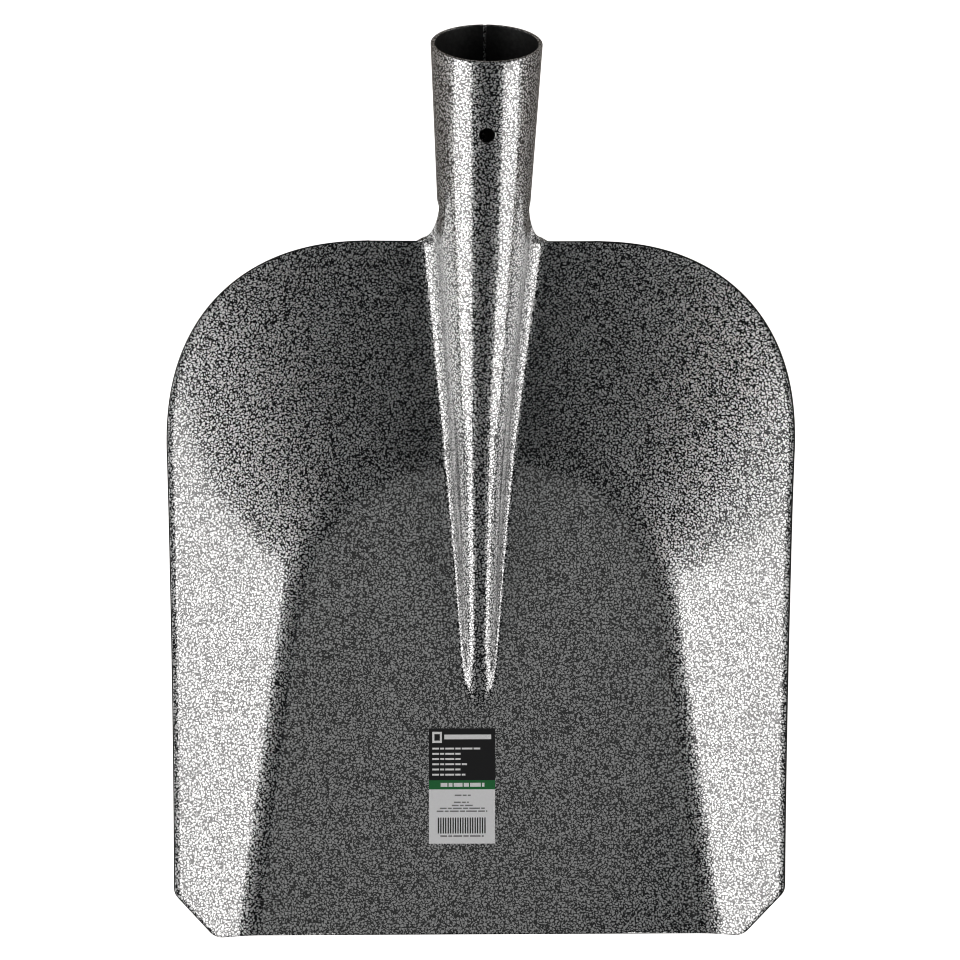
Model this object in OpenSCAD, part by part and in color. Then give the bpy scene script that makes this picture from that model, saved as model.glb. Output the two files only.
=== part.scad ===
// Shovel head: one steel sheet pressed into a flat-floored blade with a long ridge,
// and rolled into a tapered socket for a wooden handle. Millimetres.
// +Y points from the front edge to the socket, +Z up, and the floor's underside is on Z = 0.

/* [Blade] */
// Length in plan, from the front edge to the shoulder
blade_len = 263; // [250:1:275]
// Width of the sheet's inner face at its widest place
blade_w = 234.5; // [225:0.5:245]
// How far each side draws in from there to the front
side_draw = 2; // [0:0.2:4]
// Thickness of the steel sheet
sheet_t = 1.5; // [1.2:0.1:2]
// How far each clipped front corner is cut across
corner_across = 15; // [11:0.5:20]
// How far each clipped front corner is cut along the side
corner_along = 18; // [12:0.5:22]
// Radius at both ends of the cut
corner_round = 6; // [2:0.5:8]
// Half the length of the straight shoulder edge
shoulder_flat = 40; // [36:1:50]
// Depth of the round shoulder, along the blade
shoulder_depth = 76.5; // [70:0.5:85]
// How square the shoulder is: 2 is an ellipse
shoulder_power = 2.3; // [2:0.1:2.8]

/* [Dish] */
// Radius of the flat floor's round back end
arch_r = 73; // [70:1:76]
// Distance from the front edge to the centre of that round end
arch_y = 113; // [108:1:118]
// Angle at which the floor's sides flare towards the front edge
flare = 7.4; // [5:0.2:9]
// Slope of the side walls
side_slope = 29; // [24:1:34]
// Slope of the back wall
back_slope = 24; // [20:1:26]
// Slope that the rear corners lean towards
corner_slope = 18; // [14:1:26]
// How much the rear corners steepen on their way out to the rim
corner_curl = 0.45; // [0:0.05:0.6]
// Half the width of the bend into the side walls
side_bend = 5; // [4:0.5:8]
// Half the width of the bend into the back wall
back_bend = 13; // [9:0.5:16]

/* [Ridge] */
// Distance from the front edge to the ridge's tip
ridge_tip = 88; // [80:1:96]
// Angle at which the ridge's crest climbs from its tip
ridge_rise = 12; // [10:0.5:13]
// Steepest slope of the ridge's flanks
ridge_flank = 78; // [70:1:82]
// Half-width of the ridge just behind its tip
ridge_nose = 7; // [6:0.5:9]
// Half-width of the ridge at the shoulder, with its fillets
ridge_root = 24.2; // [23.5:0.1:25]

/* [Socket] */
// Angle between the socket's axis and the floor
socket_angle = 27.4; // [26:0.2:29]
// Distance from the front edge to the middle of the mouth
mouth_y = 331.5; // [325:0.5:340]
// Height of the middle of the mouth
mouth_z = 79; // [77:0.5:81]
// Outer diameter of the mouth
mouth_d = 40.4; // [39.4:0.2:41.4]
// Taper of the socket, to its axis
socket_taper = 2.8; // [2.4:0.1:3.2]
// Distance from the front edge to where the socket's tube is closed
neck_y = 290; // [286:1:294]
// Length of the fillet between shoulder and neck
neck_fillet = 11; // [9:0.5:13]
// Diameter of the hole for the handle's screw
hole_d = 6; // [4.5:0.1:6.5]
// Distance of the hole from the mouth, along the axis
hole_drop = 28.5; // [20:0.5:30]
// Width of the seam along the socket's back
seam_gap = 0.8; // [0.6:0.1:1.6]

/* [Welds] */
// Length of each weld bead
weld_len = 20; // [14:1:21]
// Width of a bead
weld_w = 4.6; // [3.6:0.2:5.6]
// Height of a bead above the socket
weld_h = 1.3; // [0.8:0.1:1.8]
// Distance from the mouth to the upper bead
weld_upper = 1; // [0.5:0.5:2]
// Distance from the start of the upper bead to the start of the lower one
weld_pitch = 30; // [24:0.5:31]

/* [Label] */
// Width of the sticker
label_w = 25.4; // [20:0.2:30]
// Length of the sticker
label_len = 44.2; // [36:0.2:50]
// Sideways place of its middle
label_x = -6.6; // [-12:0.2:12]
// Distance from the front edge to its middle
label_y = 57; // [50:1:60]
// Thickness of the sticker
label_t = 0.2; // [0.15:0.05:0.3]

/* [Hidden] */
$fn = 96;

hammered_grey = "#8f9496";
mouth_r = mouth_d / 2;
taper_rate = tan(socket_taper);
wall_r = sheet_t / cos(socket_taper);
axis_len = 60;
total_len = mouth_y + mouth_r * sin(socket_angle);
half_w = blade_w / 2;
shoulder_y = blade_len - shoulder_depth;
shoulder_a = half_w - shoulder_flat;
front_half = half_w - side_draw;
cut_join_y = 12;
cut_lean = atan2(corner_along, corner_across);
front_lead = corner_round * tan(cut_lean / 2);
side_lead = corner_round * tan(45 - cut_lean / 2);
cut_straight = norm([corner_across, corner_along]) - front_lead - side_lead;
side_join_y = 150;
crest_knee = 6;
nose_len = 14;
nose_full = 17;
crest_share = 0.93;
flat_limit = 0.02;
stem_lap = 0.2;
closed_angle = 180 - asin(seam_gap / 2 / (mouth_r - sheet_t));

// How finely the sheet is divided
cut_rows = 6;
floor_rows = 42;
fillet_rows = 5;
roll_rows = 8;
wall_cols = 15;
ridge_cols = 18;
all_cols = 2 * wall_cols + ridge_cols;
neck_rows = fillet_rows + roll_rows;

function mix(a, b, u) = a + (b - a) * u;
function ease(u) = let (c = max(0, min(1, u))) c * c * (3 - 2 * c);
function unit(v) = v / norm(v);

// Height of the sheet's upper face, away from the ridge
function arch_angle(x, y) = atan2(y - arch_y, x);
function arch_gap(x, y) = arch_angle(x, y) > flare
    ? norm([x, y - arch_y]) - arch_r
    : x * cos(flare) + (y - arch_y) * sin(flare) - arch_r;
function back_share(x, y) = ease((arch_angle(x, y) - flare) / (90 - flare));
function bend(d, w) = d < -w ? 0 : d > w ? d : pow(d + w, 2) / (4 * w);
function wall_rate(share) = mix(
    mix(tan(side_slope), tan(corner_slope), share),
    mix(tan(corner_slope), tan(back_slope), share), share);
function curl(climb, share) = 1 + corner_curl * 4 * share * (1 - share) * (climb / 120 - 2 / 3);
function dish_z(x, y) = let (
    share = back_share(abs(x), y),
    climb = bend(arch_gap(abs(x), y), mix(side_bend, back_bend, share)))
    sheet_t + wall_rate(share) * climb * curl(climb, share);

probe = 0.05;
function dish_dx(x, y) = (dish_z(x + probe, y) - dish_z(x - probe, y)) / (2 * probe);
function dish_dy(x, y) = (dish_z(x, y + probe) - dish_z(x, y - probe)) / (2 * probe);
function dish_normal(x, y) = unit([-dish_dx(x, y), -dish_dy(x, y), 1]);

// Half the outline, at the row whose inner end is at y
function rim(y) =
    y < cut_join_y ? cut_rim(y / cut_join_y)
    : y < side_join_y ? side_rim((y - cut_join_y) / (side_join_y - cut_join_y))
    : shoulder_rim(90 * (y - side_join_y) / (blade_len - side_join_y));
function cut_rim(u) = let (
    first = cut_lean * min(1, 3 * u),
    straight = cut_straight * max(0, min(1, 3 * u - 1)),
    last = mix(cut_lean, 90, max(0, 3 * u - 2)))
    [front_half - corner_across - front_lead + straight * cos(cut_lean)
        + corner_round * (sin(first) + sin(last) - sin(cut_lean)),
     straight * sin(cut_lean) + corner_round * (1 - cos(first) + cos(cut_lean) - cos(last))];
function side_rim(u) = [
    front_half + side_draw * u * u, mix(corner_along + side_lead, shoulder_y, u)];
function shoulder_rim(a) = [
    shoulder_flat + shoulder_a * pow(max(cos(a), 0), 2 / shoulder_power),
    shoulder_y + shoulder_depth * pow(sin(a), 2 / shoulder_power)];

// The cone of the socket cut by an upright plane at y: [middle z, half height, half width]
function cone_top(y, r) = mouth_z + (r - (mouth_y - y) * (sin(socket_angle) + taper_rate
    * cos(socket_angle))) / (cos(socket_angle) - taper_rate * sin(socket_angle));
function cone_bottom(y, r) = mouth_z - (r + (mouth_y - y) * (sin(socket_angle) - taper_rate
    * cos(socket_angle))) / (cos(socket_angle) + taper_rate * sin(socket_angle));
function cone_cut(y, r) = let (
    z = (cone_top(y, r) + cone_bottom(y, r)) / 2,
    down = (mouth_y - y) * cos(socket_angle) + (mouth_z - z) * sin(socket_angle),
    across = (mouth_y - y) * sin(socket_angle) - (mouth_z - z) * cos(socket_angle))
    [z, cone_top(y, r) - z, sqrt(pow(r - down * taper_rate, 2) - across * across)];

// The ridge's crest: a gentle climb from the tip, then the socket's own top line
function crest_z(y) = let (
    low = sheet_t + max(0, y - ridge_tip) * tan(ridge_rise),
    high = cone_top(y, mouth_r),
    knee = crest_knee * ease((y - ridge_tip) / 40) * (1 - ease((y - blade_len + 45) / 45)))
    (low + high + sqrt(pow(low - high, 2) + knee * knee)) / 2;

// Half-width of the ridge with its fillets, and of the strip of sheet that holds it
function ridge_half(y) = let (
    v = (y - ridge_tip - 7) / (blade_len - ridge_tip - 7),
    nose = 1 - max(0, 1 - max(0, y - ridge_tip) / nose_len))
    mix(ridge_nose, ridge_root, 0.68 * v + 0.32 * v * v) * sqrt(nose * (2 - nose));
function strip_half(y) = y < ridge_tip + nose_full
    ? ridge_half(ridge_tip + nose_full) : ridge_half(y);

// A half cross-section is a crest arc, a straight flank, a fillet and a flat:
// [crest radius, flank angle, flank length, fillet radius, fillet sweep, flat, upright scale, crest z]
function tall(y) = let (cut = cone_cut(blade_len, mouth_r))
    mix(1, cut[1] / cut[2], ease((y - 150) / (blade_len - 150)));
function flank(y, h, b) = min(ridge_flank, crest_share * 2 * atan(h / b));
function ridge_section(y, split) = let (
    b = ridge_half(y),
    s = tall(y),
    h = (crest_z(y) - dish_z(b, y)) / s,
    tilt = h > flat_limit ? flank(y, h, b) : 0,
    lift = atan(dish_dx(b, y) / s),
    wide = sin(tilt) + (1 - split) * sin(lift),
    high = split * (1 - cos(tilt)) + (1 - split) * (cos(lift) - cos(tilt)),
    den = wide * sin(tilt) - high * cos(tilt),
    reach = tilt > 0 ? (b * sin(tilt) - h * cos(tilt)) / den : 0,
    side = tilt > 0 ? max(0, (h * wide - b * high) / den) : 0)
    tilt > 0
        ? [split * reach, tilt, side, (1 - split) * reach, tilt + lift, strip_half(y) - b, s, crest_z(y)]
        : [1, 0, 0, 1, 0, strip_half(y), 1, sheet_t];
root_guess = ridge_section(blade_len, 0.67);
crest_split = cone_cut(blade_len, mouth_r)[2] / (root_guess[0] + root_guess[3]);
root = ridge_section(blade_len, crest_split);

// Past the shoulder the fillet is trimmed away, then the sheet rolls shut round the back
fillet_end = blade_len + neck_fillet;
function trim_turn(y) = acos(max(-1, 1 - (y - blade_len) / neck_fillet));
function neck_section(y) = let (
    cut = cone_cut(y, mouth_r),
    left = y < fillet_end ? 1 - trim_turn(y) / 90 : 0,
    turn = mix(root[1], closed_angle, ease((y - fillet_end) / (neck_y - fillet_end))))
    [cut[2], turn, root[2] * left, root[3], root[4] * left, 0, cut[1] / cut[2], cut[0] + cut[1]];
function section(y) = y <= blade_len ? ridge_section(y, crest_split) : neck_section(y);

// The point at distance s along a half cross-section: [sideways, down from the crest]
function rad(a) = a * PI / 180;
function deg(a) = a * 180 / PI;
function section_len(c) = c[0] * rad(c[1]) + c[2] + c[3] * rad(c[4]) + c[5];
function section_point(c, s) = let (
    arc = c[0] * rad(c[1]),
    bow = c[3] * rad(c[4]),
    on_side = min(max(s - arc, 0), c[2]),
    on_bow = min(max(s - arc - c[2], 0), bow),
    on_flat = max(s - arc - c[2] - bow, 0),
    turn = deg(min(s, arc) / c[0]),
    back = c[1] - deg(on_bow / c[3]))
    [c[0] * sin(turn) + on_side * cos(c[1]) + c[3] * (sin(c[1]) - sin(back)) + on_flat,
     c[0] * (1 - cos(turn)) + on_side * sin(c[1]) + c[3] * (cos(back) - cos(c[1]))];
function strip_point(y, f) = let (
    c = section(y),
    p = section_point(c, abs(f) * section_len(c)))
    [sign(f) * p[0], y, c[7] - c[6] * p[1]];
function strip_normal(y, f) = let (
    f_in = max(-1 + probe / 10, min(1 - probe / 10, f)),
    across = strip_point(y, f_in + probe / 10) - strip_point(y, f_in - probe / 10),
    along = strip_point(y + probe, f_in) - strip_point(y - probe, f_in))
    unit(cross(across, along));

// Rows and columns of the sheet: columns run across the left wall, the ridge and the right wall
function row_y(i) = i < cut_rows ? cut_join_y * i / cut_rows
    : mix(cut_join_y, blade_len, (i - cut_rows) / (floor_rows - cut_rows));
function neck_row_y(k) = k <= fillet_rows
    ? blade_len + neck_fillet * (1 - cos(90 * k / fillet_rows))
    : mix(fillet_end, neck_y, (k - fillet_rows) / roll_rows);
function wall_point(y, u, side) = let (
    p = mix([strip_half(y), y], rim(y), u))
    [side * p[0], p[1], dish_z(p[0], p[1])];
function top_point(i, j) =
    j < wall_cols ? wall_point(row_y(i), 1 - j / wall_cols, -1)
    : j > wall_cols + ridge_cols
        ? wall_point(row_y(i), (j - wall_cols - ridge_cols) / wall_cols, 1)
    : strip_point(row_y(i), 2 * (j - wall_cols) / ridge_cols - 1);
function top_normal(i, j) = let (p = top_point(i, j))
    j <= wall_cols || j >= wall_cols + ridge_cols ? dish_normal(p[0], p[1])
    : strip_normal(row_y(i), 2 * (j - wall_cols) / ridge_cols - 1);
function neck_point(k, j) = strip_point(neck_row_y(k), 2 * j / ridge_cols - 1);
function neck_under(k, j) = k < neck_rows
    ? neck_point(k, j) - sheet_t * strip_normal(neck_row_y(k), 2 * j / ridge_cols - 1)
    : inner_ring(2 * j / ridge_cols - 1);
function inner_ring(f) = let (cut = cone_cut(neck_y, mouth_r - wall_r), a = f * closed_angle)
    [cut[2] * sin(a), neck_y, cut[0] + cut[1] * cos(a)];

blade_top = [
    for (i = [0 : floor_rows], j = [0 : all_cols]) top_point(i, j),
    for (k = [1 : neck_rows], j = [0 : ridge_cols]) neck_point(k, j)];
blade_under = [
    for (i = [0 : floor_rows], j = [0 : all_cols]) top_point(i, j) - sheet_t * top_normal(i, j),
    for (k = [1 : neck_rows], j = [0 : ridge_cols]) neck_under(k, j)];
top_count = len(blade_top);

function at(i, j) = i * (all_cols + 1) + j;
function neck_at(k, j) = k == 0 ? at(floor_rows, wall_cols + j)
    : at(floor_rows + 1, 0) + (k - 1) * (ridge_cols + 1) + j;

// Each cell of the sheet is two triangles above and two below, mirrored left and right
function cell(a, b, c, d, left) = let (u = top_count) left
    ? [[a, c, b], [b, c, d], [a + u, b + u, c + u], [b + u, d + u, c + u]]
    : [[a, d, b], [a, c, d], [a + u, b + u, d + u], [a + u, d + u, c + u]];
function edge(a, b) = [[a, b, b + top_count], [a, b + top_count, a + top_count]];
cells = [
    for (i = [0 : floor_rows - 1], j = [0 : all_cols - 1])
        each cell(at(i, j), at(i, j + 1), at(i + 1, j), at(i + 1, j + 1), j < all_cols / 2),
    for (k = [0 : neck_rows - 1], j = [0 : ridge_cols - 1])
        each cell(neck_at(k, j), neck_at(k, j + 1), neck_at(k + 1, j), neck_at(k + 1, j + 1),
            j < ridge_cols / 2)];
edges = [
    for (j = [0 : all_cols - 1]) each edge(at(0, j), at(0, j + 1)),
    for (i = [0 : floor_rows - 1]) each concat(
        edge(at(i + 1, 0), at(i, 0)), edge(at(i, all_cols), at(i + 1, all_cols))),
    for (j = [0 : wall_cols - 1]) each concat(
        edge(at(floor_rows, j + 1), at(floor_rows, j)),
        edge(at(floor_rows, wall_cols + ridge_cols + j + 1),
            at(floor_rows, wall_cols + ridge_cols + j))),
    for (k = [0 : neck_rows - 1]) each concat(
        edge(neck_at(k + 1, 0), neck_at(k, 0)),
        edge(neck_at(k, ridge_cols), neck_at(k + 1, ridge_cols))),
    for (j = [0 : ridge_cols - 1]) each edge(neck_at(neck_rows, j + 1), neck_at(neck_rows, j))];

// Moves children from "front edge at y = 0" to the part's own frame, centred along its length
module centred() {
    translate([0, -total_len / 2, 0]) children();
}

// The socket's own frame: z runs down the axis from the mouth, +y is the front side
module from_mouth() {
    translate([0, mouth_y, mouth_z]) rotate([90 + socket_angle, 0, 0]) children();
}

// A length of the tapered tube, as a turned ring
module tube(length) {
    drop = length * taper_rate;
    rotate_extrude() polygon([
        [mouth_r - wall_r, 0], [mouth_r, 0], [mouth_r - drop, length], [mouth_r - wall_r - drop, length]]);
}

module blade() {
    color(hammered_grey) centred()
        polyhedron(points = concat(blade_top, blade_under), faces = concat(cells, edges));
}

module socket() {
    color(hammered_grey) centred() difference() {
        from_mouth() difference() {
            tube(axis_len);
            translate([-seam_gap / 2, -2 * mouth_r, -1])
                cube([seam_gap, 2 * mouth_r, axis_len + 2]);
            translate([0, 0, hole_drop]) rotate([-90, 0, 0]) cylinder(h = mouth_d, d = hole_d);
        }
        translate([-mouth_d, neck_y - mouth_d * 2, 0]) cube([mouth_d * 2, mouth_d * 2, mouth_d * 4]);
    }
}

// A weld bead fills the seam and stands proud of the socket's back
module weld_bead(start) {
    color("#7d8284") centred() from_mouth()
        translate([0, start * taper_rate - mouth_r, start])
            rotate([-socket_taper, 0, 0]) linear_extrude(weld_len) bead_profile();
}

// The bead's cross-section: the stem in the seam, and a round back outside it
module bead_profile() {
    back_r = (weld_w * weld_w / 4 + weld_h * weld_h) / (2 * weld_h);
    translate([-seam_gap / 2, -stem_lap]) square([seam_gap, sheet_t + stem_lap]);
    intersection() {
        translate([0, back_r - weld_h]) circle(r = back_r);
        translate([-weld_w / 2, -weld_h]) square([weld_w, weld_h]);
    }
}

module seam_weld_upper() {
    weld_bead(weld_upper);
}

module seam_weld_lower() {
    weld_bead(weld_upper + weld_pitch);
}

module label() {
    color("#dfe2e0") centred()
        translate([label_x - label_w / 2, label_y - label_len / 2, sheet_t])
            cube([label_w, label_len, label_t]);
}

blade();
socket();
seam_weld_upper();
seam_weld_lower();
label();
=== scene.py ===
"""The looks of a pressed steel shovel head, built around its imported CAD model.

The blade and socket are one sheet, remade here as a fine smooth mesh from the CAD's own formulas.
Shapes are worked out in millimetres, with y from the front edge, and placed in metres at the end.
"""
import math

import bmesh
import bpy
import numpy as np
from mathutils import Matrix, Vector


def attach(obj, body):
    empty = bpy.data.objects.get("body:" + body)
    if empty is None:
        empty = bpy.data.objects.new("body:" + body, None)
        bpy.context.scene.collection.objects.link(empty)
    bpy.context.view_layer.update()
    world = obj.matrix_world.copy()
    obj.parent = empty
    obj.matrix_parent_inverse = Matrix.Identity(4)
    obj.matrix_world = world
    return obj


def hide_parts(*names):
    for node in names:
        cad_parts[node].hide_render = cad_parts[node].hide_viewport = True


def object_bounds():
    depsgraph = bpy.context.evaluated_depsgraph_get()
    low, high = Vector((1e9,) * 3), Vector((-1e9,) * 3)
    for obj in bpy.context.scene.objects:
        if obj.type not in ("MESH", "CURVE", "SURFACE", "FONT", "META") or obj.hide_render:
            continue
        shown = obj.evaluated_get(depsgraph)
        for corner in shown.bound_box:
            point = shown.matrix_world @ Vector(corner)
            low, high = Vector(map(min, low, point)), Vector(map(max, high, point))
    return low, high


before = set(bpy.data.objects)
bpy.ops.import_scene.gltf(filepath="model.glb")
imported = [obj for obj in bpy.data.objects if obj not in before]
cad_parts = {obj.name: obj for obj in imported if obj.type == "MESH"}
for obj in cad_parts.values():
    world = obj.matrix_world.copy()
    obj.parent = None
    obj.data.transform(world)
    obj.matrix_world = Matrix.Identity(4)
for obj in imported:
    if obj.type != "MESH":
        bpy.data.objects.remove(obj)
cad_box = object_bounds()

# The CAD part's driving dimensions, in millimetres and degrees
BLADE_LEN, BLADE_W, SIDE_DRAW, SHEET_T = 263, 234.5, 2, 1.5
CORNER_ACROSS, CORNER_ALONG, CORNER_ROUND = 15, 18, 6
CUT_JOIN_Y, SIDE_JOIN_Y = 12, 150
SHOULDER_FLAT, SHOULDER_DEPTH, SHOULDER_POWER = 40, 76.5, 2.3
ARCH_R, ARCH_Y, FLARE = 73, 113, 7.4
SIDE_SLOPE, BACK_SLOPE, CORNER_SLOPE, SIDE_BEND, BACK_BEND = 29, 24, 18, 5, 13
CORNER_CURL = 0.45
RIDGE_TIP, RIDGE_RISE, RIDGE_FLANK, RIDGE_NOSE, RIDGE_ROOT = 88, 12, 78, 7, 24.2
NOSE_LEN, NOSE_FULL, CREST_KNEE, CREST_SHARE = 14, 17, 6, 0.93
SOCKET_ANGLE, MOUTH_Y, MOUTH_Z, MOUTH_D, SOCKET_TAPER = 27.4, 331.5, 79, 40.4, 2.8
NECK_Y, NECK_FILLET, SEAM_GAP = 290, 11, 0.8
HOLE_D, HOLE_DROP = 6, 28.5
WELD_LEN, WELD_W, WELD_H, WELD_UPPER, WELD_PITCH = 20, 4.6, 1.3, 1, 30
LABEL_W, LABEL_LEN, LABEL_X, LABEL_Y, LABEL_T = 25.4, 44.2, -6.6, 57, 0.2

# Fixed numbers in the CAD part's formulas
CURL_REACH, CURL_MIDDLE = 120, 2 / 3
NOSE_BACK, SPREAD, KNEE_START, KNEE_END = 7, 0.68, 40, 45
SQUEEZE_Y, FLAT_LIMIT, PROBE, SPLIT_GUESS = 150, 0.02, 0.05, 0.67

# Detail that only this model has: rounded edges, and how the weld beads ripple and end
EDGE_ROUND = 0.35
RIPPLE_PITCH, RIPPLE_DEPTH, RIPPLE_BOW = 1.3, 0.2, 0.5
WELD_RUN_BACK, WELD_ROOT = 0.7, 0.9 * SHEET_T

# Sizes that follow from them
AXIS_SIN, AXIS_COS = math.sin(math.radians(SOCKET_ANGLE)), math.cos(math.radians(SOCKET_ANGLE))
TAPER = math.tan(math.radians(SOCKET_TAPER))
MOUTH_R = MOUTH_D / 2
HALF_W = BLADE_W / 2
FRONT_HALF = HALF_W - SIDE_DRAW
CUT_LEAN = math.atan2(CORNER_ALONG, CORNER_ACROSS)
FRONT_LEAD = CORNER_ROUND * math.tan(CUT_LEAN / 2)
SIDE_LEAD = CORNER_ROUND * math.tan(math.pi / 4 - CUT_LEAN / 2)
CUT_STRAIGHT = math.hypot(CORNER_ACROSS, CORNER_ALONG) - FRONT_LEAD - SIDE_LEAD
SHOULDER_Y = BLADE_LEN - SHOULDER_DEPTH
TOTAL_LEN = MOUTH_Y + MOUTH_R * AXIS_SIN
CLOSED_ANGLE = math.pi - math.asin(SEAM_GAP / 2 / (MOUTH_R - SHEET_T))

# How finely the pieces are divided
CUT_ROWS, BLADE_ROWS, FILLET_ROWS, ROLL_ROWS, TUBE_ROWS = 18, 168, 14, 16, 52
WALL_COLS, RIDGE_COLS = 52, 72
FILLET_CROWDING = 1.25
HOLE_BLOCK_TALL, HOLE_BLOCK_WIDE, HOLE_RINGS = 9, 4, 5
WELD_ROWS, WELD_COLS = 134, 15


def mix(a, b, u):
    return a + (b - a) * u


def ease(u):
    c = np.clip(u, 0, 1)
    return c * c * (3 - 2 * c)


def tan_deg(angle):
    return math.tan(math.radians(angle))


def placed(points):
    """Points in millimetres from the front edge, as points in the row frame in metres."""
    return (np.asarray(points, float).reshape(-1, 3) - [0, TOTAL_LEN / 2, 0]) / 1000


# ---- The pressed dish, away from the ridge ----

def dish_z(x, y):
    x = np.abs(x)
    flare = math.radians(FLARE)
    angle = np.arctan2(y - ARCH_Y, x)
    gap = np.where(
        angle > flare,
        np.hypot(x, y - ARCH_Y) - ARCH_R,
        x * math.cos(flare) + (y - ARCH_Y) * math.sin(flare) - ARCH_R,
    )
    share = ease((angle - flare) / (math.pi / 2 - flare))
    side, corner, back = tan_deg(SIDE_SLOPE), tan_deg(CORNER_SLOPE), tan_deg(BACK_SLOPE)
    rate = mix(mix(side, corner, share), mix(corner, back, share), share)
    width = mix(SIDE_BEND, BACK_BEND, share)
    bent = np.where(gap > width, gap, np.maximum(gap + width, 0) ** 2 / (4 * width))
    curl = 1 + CORNER_CURL * 4 * share * (1 - share) * (bent / CURL_REACH - CURL_MIDDLE)
    return SHEET_T + rate * bent * curl


def rim(y):
    """Half the outline, at the row whose inner end is at y."""
    if y < CUT_JOIN_Y:
        u = 3 * y / CUT_JOIN_Y
        first = CUT_LEAN * min(1, u)
        straight = CUT_STRAIGHT * max(0, min(1, u - 1))
        last = mix(CUT_LEAN, math.pi / 2, max(0, u - 2))
        return np.array([
            FRONT_HALF - CORNER_ACROSS - FRONT_LEAD + straight * math.cos(CUT_LEAN)
            + CORNER_ROUND * (math.sin(first) + math.sin(last) - math.sin(CUT_LEAN)),
            straight * math.sin(CUT_LEAN)
            + CORNER_ROUND * (1 - math.cos(first) + math.cos(CUT_LEAN) - math.cos(last)),
        ])
    if y < SIDE_JOIN_Y:
        u = (y - CUT_JOIN_Y) / (SIDE_JOIN_Y - CUT_JOIN_Y)
        return np.array([
            FRONT_HALF + SIDE_DRAW * u * u,
            mix(CORNER_ALONG + SIDE_LEAD, SHOULDER_Y, u),
        ])
    a = math.pi / 2 * (y - SIDE_JOIN_Y) / (BLADE_LEN - SIDE_JOIN_Y)
    return np.array([
        SHOULDER_FLAT + (HALF_W - SHOULDER_FLAT) * max(math.cos(a), 0) ** (2 / SHOULDER_POWER),
        SHOULDER_Y + SHOULDER_DEPTH * math.sin(a) ** (2 / SHOULDER_POWER),
    ])


# ---- The ridge, which grows into the socket's cone ----

def cone_cut(y):
    """The socket's cone in an upright plane at y: middle z, half height, half width."""
    back = MOUTH_Y - y
    top = MOUTH_Z + (MOUTH_R - back * (AXIS_SIN + TAPER * AXIS_COS)) / (AXIS_COS - TAPER * AXIS_SIN)
    low = MOUTH_Z - (MOUTH_R + back * (AXIS_SIN - TAPER * AXIS_COS)) / (AXIS_COS + TAPER * AXIS_SIN)
    z = (top + low) / 2
    down = back * AXIS_COS + (MOUTH_Z - z) * AXIS_SIN
    across = back * AXIS_SIN - (MOUTH_Z - z) * AXIS_COS
    return z, top - z, math.sqrt((MOUTH_R - down * TAPER) ** 2 - across ** 2)


def crest_z(y):
    low = SHEET_T + max(0, y - RIDGE_TIP) * tan_deg(RIDGE_RISE)
    cut = cone_cut(y)
    high = cut[0] + cut[1]
    knee = CREST_KNEE * ease((y - RIDGE_TIP) / KNEE_START)
    knee *= 1 - ease((y - BLADE_LEN + KNEE_END) / KNEE_END)
    return (low + high + math.hypot(low - high, knee)) / 2


def ridge_half(y):
    v = (y - RIDGE_TIP - NOSE_BACK) / (BLADE_LEN - RIDGE_TIP - NOSE_BACK)
    nose = min(1, max(0, y - RIDGE_TIP) / NOSE_LEN)
    wide = mix(RIDGE_NOSE, RIDGE_ROOT, SPREAD * v + (1 - SPREAD) * v * v)
    return wide * math.sqrt(nose * (2 - nose))


def strip_half(y):
    return ridge_half(max(y, RIDGE_TIP + NOSE_FULL))


def ridge_section(y, split):
    """A half cross-section: crest radius, flank angle, flank length, fillet radius, fillet
    sweep, flat, upright scale and crest height."""
    b = ridge_half(y)
    cut = cone_cut(BLADE_LEN)
    scale = mix(1, cut[1] / cut[2], ease((y - SQUEEZE_Y) / (BLADE_LEN - SQUEEZE_Y)))
    h = (crest_z(y) - float(dish_z(b, y))) / scale
    if h < FLAT_LIMIT:
        return 1, 0, 0, 1, 0, strip_half(y), 1, SHEET_T
    tilt = min(math.radians(RIDGE_FLANK), CREST_SHARE * 2 * math.atan(h / b))
    climb = float(dish_z(b + PROBE, y) - dish_z(b - PROBE, y))
    lift = math.atan(climb / (2 * PROBE) / scale)
    wide = math.sin(tilt) + (1 - split) * math.sin(lift)
    high = split * (1 - math.cos(tilt)) + (1 - split) * (math.cos(lift) - math.cos(tilt))
    den = wide * math.sin(tilt) - high * math.cos(tilt)
    reach = (b * math.sin(tilt) - h * math.cos(tilt)) / den
    side = max(0, (h * wide - b * high) / den)
    flat = strip_half(y) - b
    return split * reach, tilt, side, (1 - split) * reach, tilt + lift, flat, scale, crest_z(y)


ROOT_GUESS = ridge_section(BLADE_LEN, SPLIT_GUESS)
CREST_SPLIT = cone_cut(BLADE_LEN)[2] / (ROOT_GUESS[0] + ROOT_GUESS[3])
ROOT = ridge_section(BLADE_LEN, CREST_SPLIT)


def neck_section(y):
    """Past the shoulder the fillet is trimmed away, then the sheet rolls shut."""
    z, tall, wide = cone_cut(y)
    end = BLADE_LEN + NECK_FILLET
    left = 0
    if y < end:
        left = 1 - math.acos(max(-1, 1 - (y - BLADE_LEN) / NECK_FILLET)) / (math.pi / 2)
    turn = mix(ROOT[1], CLOSED_ANGLE, float(ease((y - end) / (NECK_Y - end))))
    return wide, turn, ROOT[2] * left, ROOT[3], ROOT[4] * left, 0, tall / wide, z + tall


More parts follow.
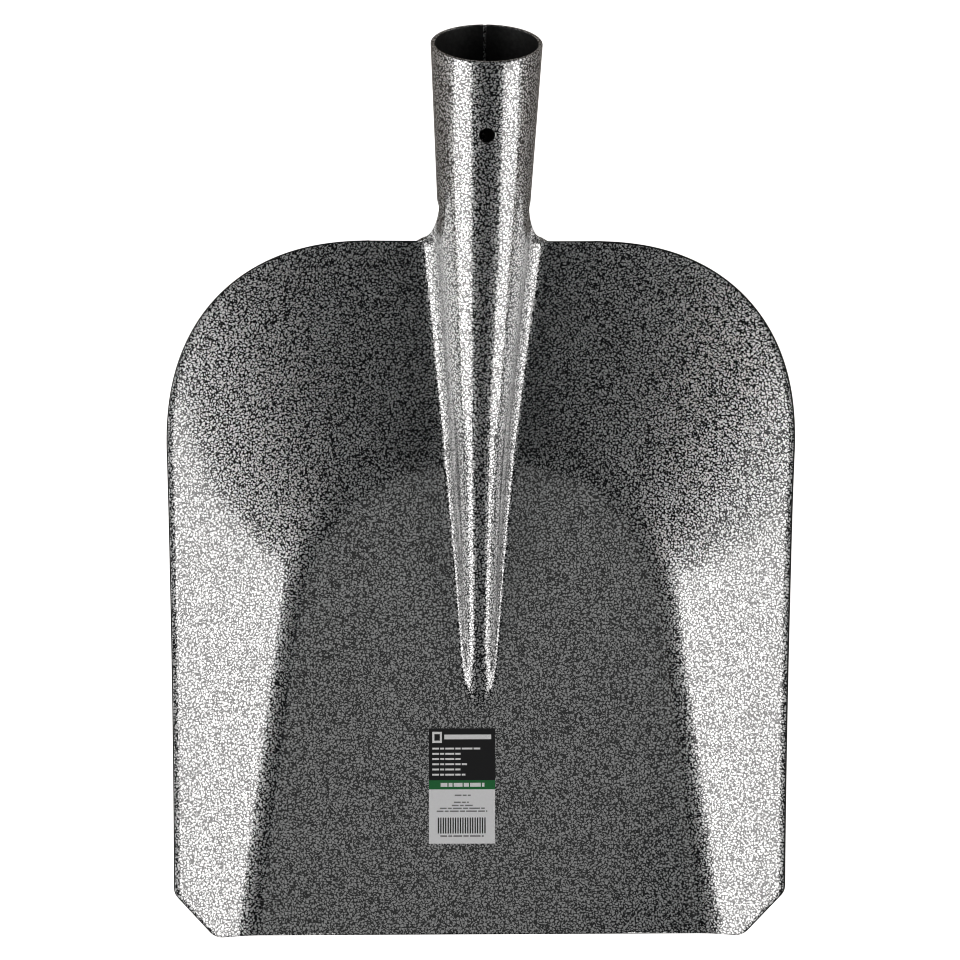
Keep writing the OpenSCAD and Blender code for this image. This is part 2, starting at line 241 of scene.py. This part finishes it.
def strip_row(y):
    """One row of points across the ridge or the neck, left to right."""
    crest_r, tilt, side, fillet_r, sweep, flat, scale, top = (
        ridge_section(y, CREST_SPLIT) if y <= BLADE_LEN else neck_section(y))
    arc, bow = crest_r * tilt, fillet_r * sweep
    f = np.linspace(-1, 1, RIDGE_COLS + 1)
    s = np.abs(f) * (arc + side + bow + flat)
    on_side = np.clip(s - arc, 0, side)
    on_bow = np.clip(s - arc - side, 0, bow)
    on_flat = np.maximum(s - arc - side - bow, 0)
    turn = np.minimum(s, arc) / crest_r
    back = tilt - on_bow / fillet_r
    across = (crest_r * np.sin(turn) + on_side * math.cos(tilt)
              + fillet_r * (math.sin(tilt) - np.sin(back)) + on_flat)
    drop = (crest_r * (1 - np.cos(turn)) + on_side * math.sin(tilt)
            + fillet_r * (np.cos(back) - math.cos(tilt)))
    return np.column_stack([np.sign(f) * across, np.full_like(f, y), top - scale * drop])


def blade_row(y):
    """One row of points over the whole blade: left wall, ridge, right wall."""
    u = np.linspace(0, 1, WALL_COLS + 1)[1:, None]
    wall = mix(np.array([strip_half(y), y]), rim(y), u)
    wall = np.column_stack([wall, dish_z(wall[:, 0], wall[:, 1])])
    return np.vstack([wall[::-1] * [-1, 1, 1], strip_row(y), wall])


def cone_point(down, around, depth=0.0):
    """A point of the socket's cone: down from the mouth, around from the front side."""
    r = MOUTH_R - down * TAPER - depth
    lift = r * np.cos(around)
    return np.stack([
        r * np.sin(around),
        MOUTH_Y - down * AXIS_COS - lift * AXIS_SIN,
        MOUTH_Z - down * AXIS_SIN + lift * AXIS_COS], axis=-1)


# ---- Meshes ----

def grid_faces(rows, cols, start=0, skipped=None):
    return [
        (start + i * cols + j, start + i * cols + j + 1,
         start + (i + 1) * cols + j + 1, start + (i + 1) * cols + j)
        for i in range(rows - 1) for j in range(cols - 1)
        if skipped is None or not skipped(i, j)]


def sheet_surface():
    """The upper and outer face of the whole sheet: points, faces that turn upwards, and the
    number of the first face of the neck and socket."""
    blade_ys = np.concatenate([
        np.linspace(0, CUT_JOIN_Y, CUT_ROWS, endpoint=False),
        np.linspace(CUT_JOIN_Y, BLADE_LEN, BLADE_ROWS + 1)])
    blade = np.array([blade_row(y) for y in blade_ys])
    fillet_ys = BLADE_LEN + NECK_FILLET * np.linspace(0, 1, FILLET_ROWS + 1) ** FILLET_CROWDING
    roll_ys = np.linspace(BLADE_LEN + NECK_FILLET, NECK_Y, ROLL_ROWS + 1)[1:]
    neck = np.array([strip_row(y) for y in np.concatenate([fillet_ys, roll_ys])])

    # The tube goes on along straight lines, from the neck's last row to the mouth
    last = neck[-1] - [0, MOUTH_Y, MOUTH_Z]
    lift = last[:, 2] * AXIS_COS - last[:, 1] * AXIS_SIN
    down = -last[:, 2] * AXIS_SIN - last[:, 1] * AXIS_COS
    around = np.arctan2(last[:, 0], lift)
    downs = np.linspace(1, 0, TUBE_ROWS + 1)[1:, None] * down
    neck = np.concatenate([neck, cone_point(downs, around[None, :])])

    # The screw hole takes a block of cells, which rings around it fill again
    rows, cols = neck.shape[:2]
    mid_col = RIDGE_COLS // 2
    first_tube = rows - TUBE_ROWS
    mid_row = first_tube + int(np.argmin(np.abs(downs[:, mid_col] - HOLE_DROP)))
    tall, wide = HOLE_BLOCK_TALL, HOLE_BLOCK_WIDE
    in_block = lambda i, j: abs(i - mid_row + 0.5) < tall and abs(j - mid_col + 0.5) < wide
    loop = ([(-tall, t) for t in range(-wide, wide)] + [(t, wide) for t in range(-tall, tall)]
            + [(tall, -t) for t in range(-wide, wide)] + [(-t, -wide) for t in range(-tall, tall)])
    loop = [(mid_row + a, mid_col + b) for a, b in loop + loop[:1]]
    edge_down = np.array([downs[i - first_tube, j] for i, j in loop])
    edge_around = np.array([around[j] for i, j in loop])
    r = MOUTH_R - HOLE_DROP * TAPER
    angle = np.arctan2(edge_around * r, edge_down - HOLE_DROP)
    hole_down = HOLE_DROP + HOLE_D / 2 * np.cos(angle)
    hole_around = np.arcsin(HOLE_D / 2 * np.sin(angle) / r)
    u = np.linspace(0, 1, HOLE_RINGS)[:, None]
    rings = cone_point(mix(edge_down, hole_down, u), mix(edge_around, hole_around, u))

    points, faces = [], []
    for grid, skipped in ((blade, None), (neck, in_block), (rings, None)):
        faces += grid_faces(grid.shape[0], grid.shape[1], sum(map(len, points)), skipped)
        points.append(grid.reshape(-1, 3))
    return np.concatenate(points), faces, (blade.shape[0] - 1) * (blade.shape[1] - 1)


def new_piece(name, points, faces, materials):
    """A mesh piece of the object, smooth all over, riding on the part's one body."""
    mesh = bpy.data.meshes.new(name)
    mesh.from_pydata([Vector(p) for p in placed(points)], [], faces)
    piece = bpy.data.objects.new(name, mesh)
    bpy.context.scene.collection.objects.link(piece)
    b = bmesh.new()
    b.from_mesh(mesh)
    bmesh.ops.remove_doubles(b, verts=b.verts, dist=1e-6)
    bmesh.ops.recalc_face_normals(b, faces=b.faces)
    for face in b.faces:
        face.smooth = True
    b.to_mesh(mesh)
    b.free()
    for material in materials:
        mesh.materials.append(material)
    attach(piece, "root")
    return piece


def make_sheet(paint, edge_shade, inner_shade):
    """The sheet's six materials are those of the blade and of the socket, first on the outer
    face, then on the inner one, then on the cut edges."""
    points, faces, first_neck = sheet_surface()
    materials = [paint, paint, paint, inner_shade, edge_shade, paint]
    piece = new_piece("pressed_sheet", points, faces, materials)
    for face in piece.data.polygons[first_neck:]:
        face.material_index = 1
    if piece.data.polygons[0].normal.z < 0:
        piece.data.flip_normals()
    solid = piece.modifiers.new("thickness", "SOLIDIFY")
    solid.thickness = SHEET_T / 1000
    solid.offset = -1
    solid.use_even_offset = True
    # The socket's inner face is coloured near black: painted shade
    solid.material_offset = 2
    # The blade's cut edges get a near-black painted shade; the socket's cut edges keep the paint
    solid.material_offset_rim = 4
    soft = piece.modifiers.new("edges", "BEVEL")
    soft.width = EDGE_ROUND / 1000
    soft.segments = 3
    soft.limit_method = "ANGLE"
    soft.angle_limit = math.radians(60)
    soft.use_clamp_overlap = False
    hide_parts("blade", "socket")
    return piece


def closed_grid(rows, cols):
    """Faces of a tube of rows that each close on themselves, with both ends capped."""
    faces = [
        (i * cols + j, i * cols + (j + 1) % cols,
         (i + 1) * cols + (j + 1) % cols, (i + 1) * cols + j)
        for i in range(rows - 1) for j in range(cols)]
    caps = [tuple(range(cols)), tuple(range((rows - 1) * cols, rows * cols))]
    return faces + caps


def make_weld(name, start, weld_len, material):
    """A bead along the seam at the socket's back, rippled as the weld pool froze."""
    across = np.linspace(-1, 1, WELD_COLS)
    rows = []
    for u in np.linspace(0, 1, WELD_ROWS):
        end = math.sqrt(max(0.06, 1 - abs(2 * u - 1) ** 9))
        phase = (u * weld_len - RIPPLE_BOW * across ** 2) / RIPPLE_PITCH
        ripple = 1 - RIPPLE_DEPTH * (phase % 1) ** 2
        sway = 1 - 0.05 * (1 + math.sin(31 * u)) - 0.04 * (1 + math.sin(77 * u + 1))
        high = WELD_H * end * ripple * (1 - across ** 2)
        half = WELD_W / 2 * end * sway
        down = start + weld_len * u
        angle = math.pi - across * half / (MOUTH_R - down * TAPER)
        downs = np.full(WELD_COLS, down)
        crown = cone_point(downs, angle, -high)
        root = cone_point(downs, angle, WELD_ROOT)
        rows.append(np.vstack([crown, root[::-1]]))
    faces = closed_grid(WELD_ROWS, 2 * WELD_COLS)
    return new_piece(name, np.array(rows), faces, [material])


# ---- The sticker ----
# Its print is plain blocks and bars, in millimetres from the sticker's top left corner.

def words(left, right, top, high):
    """A line of print as plain bars of a few set lengths."""
    lengths, shortest, space = (2.6, 1.5, 3.4, 2.0, 4.1), 0.4, 0.45
    bars = []
    while left < right - shortest:
        length = min(lengths[len(bars) % len(lengths)], right - left)
        bars.append((left, left + length, top, top + high))
        left += length + space
    return bars


def sticker_print():
    """Rectangles of print, each with the number of its material; the later ones lie on top."""
    dark, green, pale, grey = 1, 2, 3, 4
    blocks = [((0, LABEL_W, 0, 19.9), dark), ((0, LABEL_W, 19.9, 23.4), green)]
    blocks += [((1.3, 5.0, 1.3, 5.6), pale), ((2.1, 4.2, 2.2, 4.7), dark)]
    blocks += [((5.9, 23.9, 2.4, 4.2), pale)]
    for n, right in enumerate((19.7, 12.9, 12.7, 14.6, 12.1, 14.0)):
        blocks += [(bar, pale) for bar in words(1.3, right, 7.4 + 2 * n, 0.7)]
    blocks += [(bar, pale) for bar in words(4.5, 21.3, 20.9, 1.5)]
    small_lines = (
        (9.9, 16.0, 25.4), (9.6, 15.3, 28.1), (8.8, 16.8, 29.3), (4.2, 21.4, 30.4),
        (3.0, 22.4, 31.5))
    for left, right, top in small_lines:
        blocks += [(bar, grey) for bar in words(left, right, top, 0.55)]
    stripes, first, pitch, stripe = 20, 3.4, 0.94, 0.5
    for n in range(stripes):
        left = first + pitch * n
        blocks.append(((left, left + stripe, 34.2, 40.3), dark))
    blocks += [(bar, grey) for bar in words(4.4, 21.0, 41.0, 0.6)]
    return blocks


def make_sticker(materials):
    """One thin closed sheet, cut into cells along every edge of the print."""
    blocks = sticker_print()
    xs = sorted({round(v, 3) for block, tone in blocks for v in block[:2]} | {0, LABEL_W})
    ys = sorted({round(v, 3) for block, tone in blocks for v in block[2:]} | {0, LABEL_LEN})
    left, top = LABEL_X - LABEL_W / 2, LABEL_Y + LABEL_LEN / 2
    flat = [(left + x, top - y, SHEET_T) for y in ys for x in xs]
    cols, count = len(xs), len(flat)
    points = flat + [(x, y, z + LABEL_T) for x, y, z in flat]
    upper = grid_faces(len(ys), cols, count)
    lower = grid_faces(len(ys), cols)
    rim_loop = (list(range(cols)) + [cols * i + cols - 1 for i in range(1, len(ys))]
                + list(range(count - 2, count - cols - 1, -1))
                + [cols * i for i in range(len(ys) - 2, 0, -1)])
    sides = [(a, b, b + count, a + count) for a, b in zip(rim_loop, rim_loop[1:] + rim_loop[:1])]
    piece = new_piece("sticker", points, upper + lower + sides, materials)
    for face in piece.data.polygons:
        face.use_smooth = False
        if face.normal.z > 0.5:
            spot = face.center * 1000
            x, y = spot.x - left, top - (spot.y + TOTAL_LEN / 2)
            for (x0, x1, y0, y1), tone in blocks:
                if x0 < x < x1 and y0 < y < y1:
                    face.material_index = tone
    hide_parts("label")
    return piece


# ---- Materials ----

def node_material(name):
    material = bpy.data.materials.new(name)
    material.use_nodes = True
    return material, material.node_tree, material.node_tree.nodes["Principled BSDF"]


def add_node(tree, kind, **settings):
    """A node, with its inputs by name and its other settings by attribute."""
    node = tree.nodes.new(kind)
    for name, value in settings.items():
        if name.startswith("in_"):
            socket = node.inputs[name[3:].replace("_", " ")]
            if isinstance(value, bpy.types.NodeSocket):
                tree.links.new(value, socket)
            else:
                socket.default_value = value
        else:
            setattr(node, name, value)
    return node


def math_node(tree, operation, *values):
    node = tree.nodes.new("ShaderNodeMath")
    node.operation = operation
    for socket, value in zip(node.inputs, values):
        if isinstance(value, bpy.types.NodeSocket):
            tree.links.new(value, socket)
        else:
            socket.default_value = value
    return node.outputs[0]


def hammered_paint(name):
    """Silver hammered paint: bright flake cells parted by a broken network of dark veins."""
    material, tree, shader = node_material(name)
    where = add_node(tree, "ShaderNodeTexCoord").outputs["Object"]
    wobble = add_node(tree, "ShaderNodeTexNoise", in_Vector=where, in_Scale=900.0, in_Detail=2.0)
    shift = add_node(tree, "ShaderNodeVectorMath", operation="MULTIPLY_ADD")
    tree.links.new(wobble.outputs["Color"], shift.inputs[0])
    shift.inputs[1].default_value = (0.0012, 0.0012, 0.0012)
    tree.links.new(where, shift.inputs[2])
    cells = add_node(tree, "ShaderNodeTexVoronoi", feature="DISTANCE_TO_EDGE",
                     in_Vector=shift.outputs[0], in_Scale=840.0)
    patchy = add_node(tree, "ShaderNodeTexNoise", in_Vector=where, in_Scale=1500.0, in_Detail=1.0)
    width = add_node(tree, "ShaderNodeMapRange", in_Value=patchy.outputs["Fac"])
    width.inputs["From Min"].default_value = 0.35
    width.inputs["From Max"].default_value = 0.65
    width.inputs["To Min"].default_value = 0.04
    width.inputs["To Max"].default_value = 0.26
    ratio = math_node(tree, "DIVIDE", cells.outputs["Distance"], width.outputs["Result"])
    cell = add_node(tree, "ShaderNodeMapRange", interpolation_type="SMOOTHSTEP", in_Value=ratio)
    cell.inputs["From Min"].default_value = 0.72
    cell.inputs["From Max"].default_value = 1.1
    fleck = add_node(tree, "ShaderNodeTexNoise", in_Vector=where, in_Scale=1900.0, in_Detail=1.0)
    tone = add_node(tree, "ShaderNodeMapRange", in_Value=fleck.outputs["Fac"])
    tone.inputs["From Min"].default_value = 0.3
    tone.inputs["From Max"].default_value = 0.7
    tone.inputs["To Min"].default_value = 0.76
    tone.inputs["To Max"].default_value = 0.92
    silver = add_node(tree, "ShaderNodeCombineColor", in_Red=tone.outputs[0],
                      in_Green=tone.outputs[0], in_Blue=tone.outputs[0])
    colour = add_node(tree, "ShaderNodeMix", data_type="RGBA")
    tree.links.new(cell.outputs[0], colour.inputs["Factor"])
    colour.inputs[6].default_value = (0.003, 0.003, 0.0035, 1)
    tree.links.new(silver.outputs[0], colour.inputs[7])
    tree.links.new(colour.outputs[2], shader.inputs["Base Color"])
    shader.inputs["Metallic"].default_value = 0.8
    rough = add_node(tree, "ShaderNodeMapRange", in_Value=cell.outputs[0])
    rough.inputs["To Min"].default_value = 0.5
    rough.inputs["To Max"].default_value = 0.38
    tree.links.new(rough.outputs[0], shader.inputs["Roughness"])
    bump = add_node(tree, "ShaderNodeBump", in_Strength=0.08, in_Distance=0.0002,
                    in_Height=cell.outputs[0])
    tree.links.new(bump.outputs[0], shader.inputs["Normal"])
    shader.inputs["Coat Weight"].default_value = 1.0
    shader.inputs["Coat IOR"].default_value = 2.05
    shader.inputs["Coat Roughness"].default_value = 0.1
    return material


def print_ink(name, colour):
    """Glossy print or bare paper, with a faint unevenness."""
    material, tree, shader = node_material(name)
    where = add_node(tree, "ShaderNodeTexCoord").outputs["Object"]
    grain = add_node(tree, "ShaderNodeTexNoise", in_Vector=where, in_Scale=1200.0, in_Detail=2.0)
    tint = add_node(tree, "ShaderNodeMix", data_type="RGBA")
    tree.links.new(grain.outputs["Fac"], tint.inputs["Factor"])
    tint.inputs[6].default_value = (*[0.93 * c for c in colour], 1)
    tint.inputs[7].default_value = (*colour, 1)
    tree.links.new(tint.outputs[2], shader.inputs["Base Color"])
    shader.inputs["Roughness"].default_value = 0.4
    return material


def cut_edge_shade():
    """The sheet's cut edge, coloured near black: painted shade for the dark line along the rounded
    edge.
    """
    material, tree, shader = node_material("cut_edge_shade")
    where = add_node(tree, "ShaderNodeTexCoord").outputs["Object"]
    grain = add_node(tree, "ShaderNodeTexNoise", in_Vector=where, in_Scale=900.0, in_Detail=3.0)
    tone = add_node(tree, "ShaderNodeMapRange", in_Value=grain.outputs["Fac"])
    # Near-black tones: painted shade along the cut edges
    tone.inputs["To Min"].default_value = 0.003
    tone.inputs["To Max"].default_value = 0.03
    tree.links.new(tone.outputs[0], shader.inputs["Base Color"])
    shader.inputs["Roughness"].default_value = 0.6
    shader.inputs["Specular IOR Level"].default_value = 0.2
    return material


def socket_inside_shade():
    """The socket's inner face, coloured near black as painted shade for the dark inside of the
    tube.
    """
    material, tree, shader = node_material("socket_inside_shade")
    where = add_node(tree, "ShaderNodeTexCoord").outputs["Object"]
    grain = add_node(tree, "ShaderNodeTexNoise", in_Vector=where, in_Scale=700.0, in_Detail=3.0)
    tone = add_node(tree, "ShaderNodeMapRange", in_Value=grain.outputs["Fac"])
    tone.inputs["From Min"].default_value = 0.35
    tone.inputs["From Max"].default_value = 0.75
    # Near-black tones: painted shade inside the socket
    tone.inputs["To Min"].default_value = 0.004
    tone.inputs["To Max"].default_value = 0.025
    tree.links.new(tone.outputs[0], shader.inputs["Base Color"])
    shader.inputs["Roughness"].default_value = 0.5
    return material


def pale_floor():
    """Shown as plain white, and throwing only a dim light back onto the shovel."""
    material, tree, shader = node_material("pale_floor")
    seen = add_node(tree, "ShaderNodeLightPath").outputs["Is Camera Ray"]
    tree.links.new(seen, shader.inputs["Emission Strength"])
    shader.inputs["Emission Color"].default_value = (1, 1, 1, 1)
    shader.inputs["Base Color"].default_value = (0.4, 0.37, 0.34, 1)
    shader.inputs["Roughness"].default_value = 0.9
    shader.inputs["Specular IOR Level"].default_value = 0.0
    return material


# ---- Studio ----

def area_light(name, place, aim, width, height, radiance, tint=(1, 1, 1)):
    light = bpy.data.lights.new(name, "AREA")
    light.shape = "RECTANGLE"
    light.size, light.size_y = width, height
    light.energy = radiance * width * height * math.pi
    light.color = tint
    lamp = bpy.data.objects.new(name, light)
    bpy.context.scene.collection.objects.link(lamp)
    lamp.location = place
    lamp.rotation_euler = (Vector(place) - Vector(aim)).to_track_quat("Z", "Y").to_euler()
    return lamp


def make_studio():
    world = bpy.data.worlds.new("studio")
    bpy.context.scene.world = world
    world.use_nodes = True
    world.node_tree.nodes["Background"].inputs["Color"].default_value = (0.018, 0.021, 0.023, 1)
    side, warm, cool = 1.3, (1, 0.985, 0.975), (0.87, 0.96, 1)
    # Each side panel is dim low down beside the blade, so that the floor of the scoop,
    # seen from the side, doesn't mirror it as plain white
    area_light("left_panel", (-side, -0.5, 0.87), (0.2, -0.4, 0.67), 3.0, 0.66, 2.7, warm)
    area_light("left_front", (-side, -1.3, 0.27), (0.2, -1.25, 0.07), 1.4, 0.54, 2.8, warm)
    area_light("left_low", (-side, 0.2, 0.27), (0.2, 0.25, 0.07), 1.6, 0.54, 0.6, warm)
    area_light("right_panel", (side, -0.2, 0.84), (-0.2, -0.1, 0.67), 2.6, 0.6, 2.5, warm)
    area_light("right_front", (side, -1.1, 0.27), (-0.2, -1.05, 0.1), 1.0, 0.54, 2.7, warm)
    area_light("right_low", (side, 0.25, 0.27), (-0.2, 0.3, 0.1), 1.7, 0.54, 0.6, warm)
    area_light("left_fade", (-side, -0.35, 1.33), (0.2, -0.3, 1.1), 1.3, 0.26, 0.5, warm)
    area_light("ceiling_left", (-0.55, 0.3, 2.4), (-0.2, 0.1, 0), 1.1, 2.2, 0.12, (1, 0.95, 0.89))
    area_light("ceiling_right", (0.55, 0.3, 2.4), (0.2, 0.1, 0), 1.1, 2.2, 0.075, cool)

    mesh = bpy.data.meshes.new("studio_floor")
    reach = 6
    corners = [(-reach, -reach, 0), (reach, -reach, 0), (reach, reach, 0), (-reach, reach, 0)]
    mesh.from_pydata(corners, [], [(0, 1, 2, 3)])
    floor = bpy.data.objects.new("studio_floor", mesh)
    bpy.context.scene.collection.objects.link(floor)
    floor_gap = 0.0005
    floor.location.z = cad_box[0][2] - floor_gap
    mesh.materials.append(pale_floor())


def make_camera():
    """Nearly straight above, a little to the left, as in the photograph."""
    distance, yaw, view_width = 1.25, math.radians(2), 0.3686
    aim = Vector((0.00036, 0.0039, 0))
    camera = bpy.data.cameras.new("camera")
    camera.lens = camera.sensor_width * distance / view_width
    camera.clip_start = 0.05
    view = bpy.data.objects.new("camera", camera)
    bpy.context.scene.collection.objects.link(view)
    view.location = aim + distance * Vector((-math.sin(yaw), 0, math.cos(yaw)))
    view.rotation_euler = (0, -yaw, 0)
    bpy.context.scene.camera = view


make_camera()
make_studio()
bpy.context.scene.view_settings.view_transform = "Standard"
bpy.context.scene.cycles.filter_width = 1.0
make_sheet(hammered_paint("hammered_paint"), cut_edge_shade(), socket_inside_shade())
weld_paint = hammered_paint("weld_paint")
# The upper bead runs on a little towards the mouth
for name, start, runs_back in (
        ("upper", WELD_UPPER, WELD_RUN_BACK), ("lower", WELD_UPPER + WELD_PITCH, 0)):
    bead = make_weld("weld_bead_" + name, start - runs_back, WELD_LEN + runs_back, weld_paint)
    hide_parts("seam_weld_" + name)
make_sticker([
    print_ink("sticker_paper", (0.93, 0.93, 0.94)),
    print_ink("print_black", (0.012, 0.012, 0.013)),
    print_ink("print_green", (0.02, 0.17, 0.05)),
    print_ink("print_white", (0.95, 0.95, 0.95)),
    print_ink("print_grey", (0.25, 0.25, 0.25)),
])
